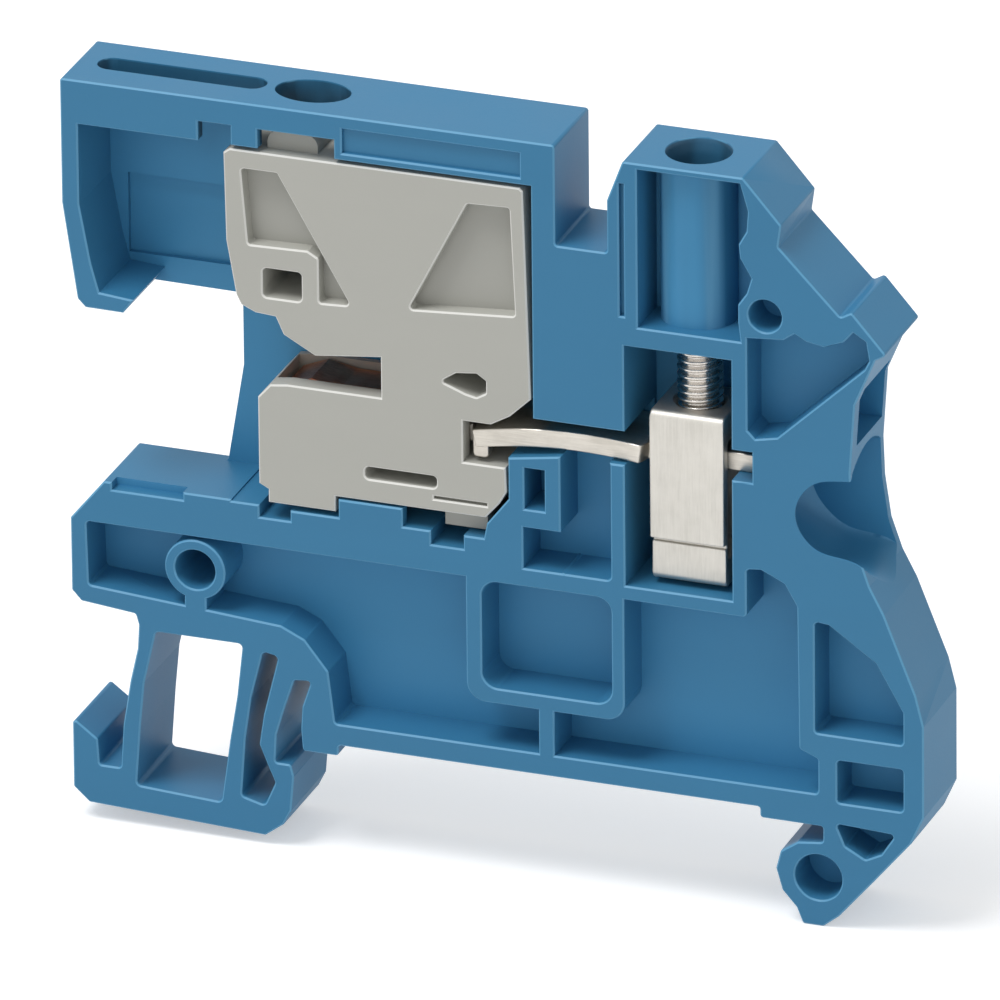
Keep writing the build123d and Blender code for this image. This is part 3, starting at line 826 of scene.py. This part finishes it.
@dataclass
class ClampScrew:
    """The slotted screw with its rolled thread."""

    pitch: float = 0.5 * MM
    thread_depth: float = 0.27 * MM
    root_share: float = 0.1
    flank_share: float = 0.75
    run_out: float = 1.5
    head_height: float = 2.8 * MM
    shank_radius: float = 1.4 * MM
    tip_chamfer: float = 0.35 * MM
    head_round: float = 0.3 * MM
    foot_round: float = 0.1 * MM
    slot_width: float = 0.55 * MM
    slot_depth: float = 1.0 * MM
    slot_round: float = 0.08 * MM
    around: int = 72
    rows_per_turn: int = 16
    sharp_deg: float = 42.0

    def thread(self, centre: tuple[float, float], low: float, high: float) -> bpy.types.Object:
        """Makes the threaded shank.

        With the phase f = frac(z / pitch - a / 2 pi) and the ramp
        t = clip((|2 f - 1| - root_share) / flank_share, 0, 1), the radius is
        R - depth * (1 - t * t * (3 - 2 t)), a rolled groove with a narrow root and crest. The groove
        runs out over run_out turns below the head, and a cone of 45 degrees bounds it at the tip.

        Args:
            centre: X and Y of the axis.
            low: Height of the tip.
            high: Height of the head's seat.

        Returns:
            The closed shank.
        """
        rows = int((high - low) / self.pitch * self.rows_per_turn) + 1
        heights = np.linspace(low, high, rows)
        angles = np.linspace(0.0, 2.0 * math.pi, self.around, endpoint=False)
        level, turn = np.meshgrid(heights, angles, indexing="ij")
        phase = np.mod(level / self.pitch - turn / (2.0 * math.pi), 1.0)
        ramp = np.clip((np.abs(2.0 * phase - 1.0) - self.root_share) / self.flank_share, 0.0, 1.0)
        ramp = ramp * ramp * (3.0 - 2.0 * ramp)
        fade = np.clip((high - level) / (self.run_out * self.pitch), 0.0, 1.0)
        radius = self.shank_radius - self.thread_depth * (1.0 - ramp) * fade
        radius = np.minimum(radius, self.shank_radius - self.tip_chamfer + (level - low))
        points = np.stack(
            [centre[0] + radius * np.cos(turn), centre[1] + radius * np.sin(turn), level], axis=-1
        ).reshape(-1, 3)
        ends = np.array([[*centre, low], [*centre, high]])
        faces = grid_faces(rows, self.around, False, True)
        last = rows * self.around
        ring = [(j, (j + 1) % self.around) for j in range(self.around)]
        faces += [(last, b, a) for a, b in ring]
        faces += [(last + 1, last - self.around + a, last - self.around + b) for a, b in ring]
        shank = mesh_object("clamp_screw_thread", np.concatenate([points, ends]), faces)
        outward(shank)
        return shank

    def head(self, centre: tuple[float, float], seat: float, top: float, radius: float) -> bpy.types.Object:
        """Makes the slotted head.

        Args:
            centre: X and Y of the axis.
            seat: Height of its underside.
            top: Height of its top.
            radius: Its radius.

        Returns:
            The closed head with its slot.
        """
        arc = np.linspace(0.0, math.pi / 2.0, 7)
        out, up = np.cos(arc), np.sin(arc)
        foot = zip(radius - self.foot_round * (1.0 - up), seat + self.foot_round * (1.0 - out))
        rim = zip(radius - self.head_round * (1.0 - out), top - self.head_round * (1.0 - up))
        head = lathe("clamp_screw_head", centre, [(0.0, seat), *foot, *rim, (0.0, top)], self.around)
        half, reach = self.slot_width / 2.0, radius * 1.5
        low, high = top - self.slot_depth, top + MM
        clear = 0.01 * MM
        corners = [
            (-half, high, clear),
            (-half, low, self.slot_round),
            (half, low, self.slot_round),
            (half, high, clear),
        ]
        loop = rounded_loop(corners, 4)
        ends = np.array([centre[0] - reach, centre[0] + reach])
        points = np.stack(
            [
                np.repeat(ends, len(loop)),
                centre[1] + np.tile(loop[:, 0], 2),
                np.tile(loop[:, 1], 2),
            ],
            axis=-1,
        )
        slot = mesh_object("slot", points, capped_tube_faces(2, len(loop)))
        outward(slot)
        cut(head, slot)
        return head

    def build(self, finishes: Finishes) -> None:
        """Replaces the plain screw with the threaded one.

        Args:
            finishes: The made materials.
        """
        low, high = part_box("clamp_screw")
        centre = plan_centre(low, high)
        seat = high.z - self.head_height
        pieces = [
            self.thread(centre, low.z, seat),
            self.head(centre, seat, high.z, (high.x - low.x) / 2.0),
        ]
        for piece in pieces:
            smooth(piece, self.sharp_deg)
            finishes.dress_piece(piece, "plated_screw", Body.SCREW)
            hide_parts("clamp_screw")


@dataclass
class ClampCage:
    """The folded sheet-metal cage that the screw lifts, with the seam where its ends overlap."""

    wall: float = 0.8 * MM
    floor: float = 1.7 * MM
    nut: float = 1.8 * MM
    lap_height: float = 2.9 * MM
    lap_step: float = 0.4 * MM
    crease: float = 0.2 * MM
    crease_height: float = 0.34 * MM
    seam_round: float = 0.1 * MM
    fold: float = 0.5 * MM
    inner_fold: float = 0.22 * MM
    edge: float = 0.13 * MM
    hole: float = 1.45 * MM
    hole_flare: float = 0.22 * MM
    hole_points: int = 64
    steps: int = 7
    sharp_deg: float = 35.0

    def loops(self, low: Vector, high: Vector) -> tuple[np.ndarray, np.ndarray]:
        """Works out the outside and the inside of the folded sheet in the plane across the block.

        Args:
            low: Lowest corner of the cage.
            high: Highest corner of the cage.

        Returns:
            Two outlines of Y and Z with the same number of points: the seam's step and the crease under
            it, on the front of the outer one, stand opposite plain points of the inner one.
        """
        seam = low.z + self.lap_height
        lapped = low.y + self.lap_step
        tight = 0.05 * MM
        outer = [
            (low.y, high.z, self.fold),
            (low.y, seam, self.seam_round),
            (lapped + self.crease, seam, tight),
            (lapped + self.crease, seam - self.crease_height, tight),
            (lapped, seam - self.crease_height, self.seam_round),
            (lapped, low.z, self.fold),
            (high.y, low.z, self.fold),
            (high.y, high.z, self.fold),
        ]
        left, right = low.y + self.wall, high.y - self.wall
        bottom, top = low.z + self.floor, high.z - self.nut
        nearly = 1e-3 * MM
        inner = [
            (left, top, self.inner_fold),
            (left, seam, tight),
            (left + nearly, seam - self.crease_height / 2.0, tight),
            (left, seam - self.crease_height, tight),
            (left + nearly, (seam - self.crease_height + bottom) / 2.0, tight),
            (left, bottom, self.inner_fold),
            (right, bottom, self.inner_fold),
            (right, top, self.inner_fold),
        ]
        return rounded_loop(outer, self.steps), rounded_loop(inner, self.steps)

    def sheet(self, low: Vector, high: Vector) -> bpy.types.Object:
        """Makes the folded sheet.

        Every point of the outer loop is joined with its partner on the inner loop. Round that section, the
        sheet's edges follow quarter circles of the edge's radius.

        Args:
            low: Lowest corner of the cage.
            high: Highest corner of the cage.

        Returns:
            The sheet, a closed mesh with the cage's opening along X through it.
        """
        outer, inner = self.loops(low, high)
        gap = inner - outer
        into = gap / np.linalg.norm(gap, axis=1, keepdims=True)
        arc = np.linspace(0.0, math.pi / 2.0, 5)
        inset = self.edge * (1.0 - np.cos(arc))
        along = self.edge * (1.0 - np.sin(arc))
        # Over the right edge from the outside to the inside, then back over the left one
        ends = [high.x - along, high.x - along[::-1], low.x + along, low.x + along[::-1]]
        depths = np.concatenate([inset, inset[::-1], inset, inset[::-1]])[:, None, None]
        inside = np.repeat([False, True, True, False], len(arc))[:, None, None]
        section = np.where(inside, inner - into * depths, outer + into * depths)
        rings, around = section.shape[:2]
        places = np.broadcast_to(np.concatenate(ends)[:, None, None], (rings, around, 1))
        points = np.concatenate([places, section], axis=-1)
        sheet = mesh_object("clamp_cage", points.reshape(-1, 3), grid_faces(rings, around, True, True))
        outward(sheet)
        return sheet

    def drill(self, low: Vector, high: Vector) -> bpy.types.Object:
        """Makes the tool shape that cuts the screw's hole, flared at the top.

        Args:
            low: Lowest corner of the cage.
            high: Highest corner of the cage.

        Returns:
            The shape, which reaches past the sheet on both sides.
        """
        profile = [
            (0.0, high.z - self.nut - MM),
            (self.hole, high.z - self.nut - MM),
            (self.hole, high.z - self.hole_flare),
            (self.hole + self.hole_flare + MM, high.z + MM),
            (0.0, high.z + MM),
        ]
        return lathe("drill", plan_centre(low, high), profile, self.hole_points)

    def build(self, finishes: Finishes) -> None:
        """Replaces the plain cage with the folded one.

        Args:
            finishes: The made materials.
        """
        low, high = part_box("clamp_sleeve")
        cage = self.sheet(low, high)
        cut(cage, self.drill(low, high))
        smooth(cage, self.sharp_deg)
        finishes.dress_piece(cage, "plated_sleeve", Body.SLEEVE)
        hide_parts("clamp_sleeve")


@dataclass
class CurrentBar:
    """The rolled bar from the slider's fork to the clamp: narrow, then wide over an arch, then narrow."""

    thickness: float = 1.2 * MM
    tail: tuple[float, float] = (-4.9 * MM, 22.0 * MM)
    crest: tuple[float, float] = (0.8 * MM, 22.75 * MM)
    shoulder: tuple[float, float] = (6.2 * MM, 22.5 * MM)
    narrow: tuple[float, float] = (-1.7 * MM, 1.7 * MM)
    wide: tuple[float, float] = (-2.7 * MM, 2.1 * MM)
    shoulder_round: float = 0.35 * MM
    edge: float = 0.14 * MM
    lug: tuple[float, float] = (-4.7 * MM, -3.7 * MM)
    lug_height: tuple[float, float] = (20.9 * MM, 22.2 * MM)
    lug_sheet: float = 0.78 * MM
    lug_set_back: float = 0.02 * MM
    lug_round: float = 0.25 * MM
    stations: int = 120
    sharp_deg: float = 40.0

    def height(self, x: np.ndarray) -> np.ndarray:
        """Gives the height of the bar's middle line.

        Args:
            x: Places along the bar.

        Returns:
            The circle through the tail's end, the crest and the shoulder, z = cz + sqrt(r^2 - (x - cx)^2),
            and a level line on either side of it.
        """
        (ax, az), (bx, bz), (cx, cz) = self.tail, self.crest, self.shoulder
        rows = np.array([[bx - ax, bz - az], [cx - ax, cz - az]])
        squares = np.array([bx * bx + bz * bz - ax * ax - az * az, cx * cx + cz * cz - ax * ax - az * az])
        middle = np.linalg.solve(rows, squares / 2.0)
        radius = math.hypot(ax - middle[0], az - middle[1])
        along = np.clip(x, ax, cx)
        return middle[1] + np.sqrt(radius * radius - (along - middle[0]) ** 2)

    def sides(self, x: np.ndarray) -> tuple[np.ndarray, np.ndarray]:
        """Gives the bar's two sides.

        Args:
            x: Places along the bar.

        Returns:
            Its lowest and highest Y: narrow outside the arch and wide on it, with a quarter of a sine wave
            as the round of each shoulder.
        """
        into = np.clip((x - self.tail[0]) / self.shoulder_round, 0.0, 1.0)
        out = np.clip((self.shoulder[0] - x) / self.shoulder_round, 0.0, 1.0)
        swell = np.sin(into * math.pi / 2.0) * np.sin(out * math.pi / 2.0)
        low = self.narrow[0] + (self.wide[0] - self.narrow[0]) * swell
        high = self.narrow[1] + (self.wide[1] - self.narrow[1]) * swell
        return low, high

    def bar(self) -> bpy.types.Object:
        """Makes the bar.

        Each station is a rectangle with rounded corners, square to the middle line. At both ends it
        shrinks along a quarter circle, so that the end's edges are eased too.

        Returns:
            The bar, a closed mesh.
        """
        low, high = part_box("current_bar")
        bow = np.linspace(0.0, math.pi / 2.0, 6)
        reach = self.edge * (1.0 - np.cos(bow))
        ramp = self.shoulder_round * np.linspace(0.0, 1.0, 9)
        even = np.linspace(low.x + self.edge, high.x - self.edge, self.stations)
        ends, shoulders = (low.x + reach, high.x - reach), (self.tail[0] + ramp, self.shoulder[0] - ramp)
        x = np.unique(np.concatenate([*ends, even, *shoulders]))
        end = np.clip(np.minimum(x - low.x, high.x - x) / self.edge, 0.0, 1.0)
        inset = self.edge * (1.0 - np.sqrt(1.0 - (1.0 - end) ** 2))
        middle = self.height(x)
        slope = np.gradient(middle, x)
        length = np.sqrt(1.0 + slope * slope)
        left, right = self.sides(x)
        rows = []
        for quarter, (across, up) in enumerate(((1, 1), (-1, 1), (-1, -1), (1, -1))):
            for angle in np.linspace(0.0, math.pi / 2.0, 4) + quarter * math.pi / 2.0:
                edge = right - inset if across > 0 else left + inset
                side = edge + self.edge * (math.cos(angle) - across)
                lift = up * (self.thickness / 2.0 - inset) + self.edge * (math.sin(angle) - up)
                rows.append(np.stack([x - slope / length * lift, side, middle + lift / length], axis=-1))
        points = np.stack(rows, axis=1)
        faces = capped_tube_faces(*points.shape[:2])
        return mesh_object("current_bar_rolled", points.reshape(-1, 3), faces)

    def hanging_lug(self) -> bpy.types.Object:
        """Makes the lug that hangs from the bar's front edge inside the slider.

        Its upper corners lie inside the bar, so they are left nearly sharp.

        Returns:
            The lug: a rounded outline carried through the sheet, drawn in by a quarter circle at both
            faces.
        """
        (start, end), (low, high) = self.lug, self.lug_height
        nearly_sharp = 0.1 * self.lug_round
        corners = [
            (start, high, nearly_sharp),
            (start, low, self.lug_round),
            (end, low, self.lug_round),
            (end, high, nearly_sharp),
        ]
        loop = rounded_loop(corners, 6)
        toward = loop.mean(axis=0) - loop
        toward /= np.linalg.norm(toward, axis=1, keepdims=True)
        bow = np.linspace(0.0, math.pi / 2.0, 4)
        rise, inward = self.edge * (1.0 - np.cos(bow)), self.edge * (1.0 - np.sin(bow))
        front = self.wide[0] + self.lug_set_back
        back = front + self.lug_sheet
        depths = np.concatenate([front + rise, back - rise[::-1]])
        rows = []
        for depth, draw in zip(depths, np.concatenate([inward, inward[::-1]])):
            flat = loop + toward * draw
            rows.append(np.column_stack([flat[:, 0], np.full(len(flat), depth), flat[:, 1]]))
        points = np.stack(rows)
        faces = capped_tube_faces(*points.shape[:2])
        return mesh_object("current_bar_lug", points.reshape(-1, 3), faces)

    def build(self, finishes: Finishes) -> None:
        """Replaces the plain bar with the rolled one and its lug.

        Args:
            finishes: The made materials.
        """
        for piece in (self.bar(), self.hanging_lug()):
            outward(piece)
            smooth(piece, self.sharp_deg)
            finishes.dress_piece(piece, "plated_bar", Body.BLOCK)
            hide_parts("current_bar")


@dataclass(frozen=True)
class SoftLamp:
    """A square soft lamp that hangs round the block and faces it."""

    name: str
    place: tuple[float, float, float]
    side: float
    watts: float

    def hang(self, aim: tuple[float, float, float]) -> None:
        """Puts the lamp into the scene.

        Args:
            aim: The point that it faces.
        """
        data = bpy.data.lights.new(self.name, "AREA")
        data.shape = "SQUARE"
        data.size = self.side
        data.energy = self.watts
        lamp = bpy.data.objects.new(self.name, data)
        turn = (Vector(aim) - Vector(self.place)).to_track_quat("-Z", "Y")
        lamp.matrix_world = Matrix.Translation(Vector(self.place)) @ turn.to_matrix().to_4x4()
        bpy.context.scene.collection.objects.link(lamp)


@dataclass
class Studio:
    """Floor, lamps, backdrop and camera."""

    floor_half: float = 1.5
    floor_glow: float = 0.42
    ambient: float = 0.5
    camera_place: tuple[float, float, float] = (0.44189, -1.20354, 0.59248)
    camera_right: tuple[float, float, float] = (0.94322, 0.33216, -0.00356)
    camera_down: tuple[float, float, float] = (0.12693, -0.37030, -0.92020)
    camera_forward: tuple[float, float, float] = (-0.30697, 0.86750, -0.39143)
    focal_pixels: float = 7729.7
    middle_offset: tuple[float, float] = (-103.0, 150.0)
    frame_pixels: float = 330.0
    sensor_mm: float = 36.0
    lamps_aim: tuple[float, float, float] = (0.0, 0.0, 18.0 * MM)
    lamps: tuple[SoftLamp, ...] = (
        SoftLamp("key", place=(-0.28, -0.3, 0.95), side=0.4, watts=5.6),
        SoftLamp("front_fill", place=(-0.1, -1.1, 0.35), side=0.6, watts=0.6),
        SoftLamp("right_fill", place=(0.8, -0.1, 0.5), side=0.5, watts=0.5),
    )

    def camera(self) -> None:
        """Sets the camera of the photograph, aimed at the middle of the block's part of the picture."""
        right, down = Vector(self.camera_right), Vector(self.camera_down)
        aside = right * self.middle_offset[0] + down * self.middle_offset[1]
        aim = (Vector(self.camera_forward) * self.focal_pixels + aside).normalized()
        up = (-down - aim * (-down).dot(aim)).normalized()
        side = aim.cross(up)
        data = bpy.data.cameras.new("camera")
        data.sensor_width = self.sensor_mm
        data.lens = self.sensor_mm * self.focal_pixels / self.frame_pixels
        data.clip_start, data.clip_end = 0.05, 20.0
        camera = bpy.data.objects.new("camera", data)
        turn = Matrix((side, up, -aim)).transposed()
        camera.matrix_world = Matrix.Translation(Vector(self.camera_place)) @ turn.to_4x4()
        bpy.context.scene.collection.objects.link(camera)
        bpy.context.scene.camera = camera

    def seen_directly(self, tree: bpy.types.NodeTree) -> bpy.types.NodeSocket:
        """Tells rays of the camera, of reflections and through glass from rays that only light.

        Args:
            tree: The tree to which the nodes are added.

        Returns:
            A socket that is 1 on such rays and 0 on the others.
        """
        path = tree.nodes.new("ShaderNodeLightPath")
        result = path.outputs["Is Camera Ray"]
        for name in ("Is Glossy Ray", "Is Transmission Ray"):
            either = tree.nodes.new("ShaderNodeMath")
            either.operation = "MAXIMUM"
            tree.links.new(result, either.inputs[0])
            tree.links.new(path.outputs[name], either.inputs[1])
            result = either.outputs[0]
        return result

    def floor(self, height: float) -> None:
        """Lays the pale floor.

        Args:
            height: Height of the floor, the lowest point of the solids.
        """
        square = np.array([[-1.0, -1.0], [1.0, -1.0], [1.0, 1.0], [-1.0, 1.0]]) * self.floor_half
        corners = np.column_stack([square, np.full(4, height)])
        plane = mesh_object("studio_floor", corners, [(0, 1, 2, 3)])
        material = bpy.data.materials.new("studio_floor")
        material.use_nodes = True
        tree = material.node_tree
        shader = tree.nodes["Principled BSDF"]
        shader.inputs["Base Color"].default_value = (0.8, 0.8, 0.8, 1.0)
        shader.inputs["Roughness"].default_value = 0.9
        shader.inputs["Specular IOR Level"].default_value = 0.1
        shader.inputs["Emission Color"].default_value = (*(self.floor_glow,) * 3, 1.0)
        tree.links.new(self.seen_directly(tree), shader.inputs["Emission Strength"])
        plane.data.materials.append(material)
        plane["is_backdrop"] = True

    def world(self) -> None:
        """Lights the backdrop white for the camera and for reflections, and dimly for the object."""
        world = bpy.data.worlds.new("studio")
        bpy.context.scene.world = world
        world.use_nodes = True
        tree = world.node_tree
        back = tree.nodes["Background"]
        back.inputs["Color"].default_value = (1.0, 1.0, 1.0, 1.0)
        strength = tree.nodes.new("ShaderNodeMapRange")
        strength.inputs["To Min"].default_value = self.ambient
        strength.inputs["To Max"].default_value = 1.0
        tree.links.new(self.seen_directly(tree), strength.inputs["Value"])
        tree.links.new(strength.outputs[0], back.inputs["Strength"])

    def set_up(self, floor_height: float) -> None:
        """Builds the whole studio.

        Args:
            floor_height: Height of the floor.
        """
        self.camera()
        self.floor(floor_height)
        self.world()
        for lamp in self.lamps:
            lamp.hang(self.lamps_aim)
        bpy.context.scene.view_settings.view_transform = "Standard"
        log.info("studio set up with its floor at %.4f m", floor_height)


def plain(box: tuple[Vector, Vector]) -> list[list[float]]:
    """Turns a box into plain lists of numbers."""
    return [[float(value) for value in corner] for corner in box]


def main() -> None:
    """Builds the classes in order and reports each piece."""
    logging.basicConfig(level=logging.INFO, format="%(name)s: %(message)s")
    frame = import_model()
    solids_box = plain(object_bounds())
    finishes = Finishes()
    finishes.make()
    HousingMoulding().dress(frame, finishes)
    DisconnectSlider().dress(frame, finishes)
    CurrentBar().build(finishes)
    ClampCage().build(finishes)
    ClampScrew().build(finishes)
    Studio().set_up(solids_box[0][2])


if __name__ == "__main__":
    main()
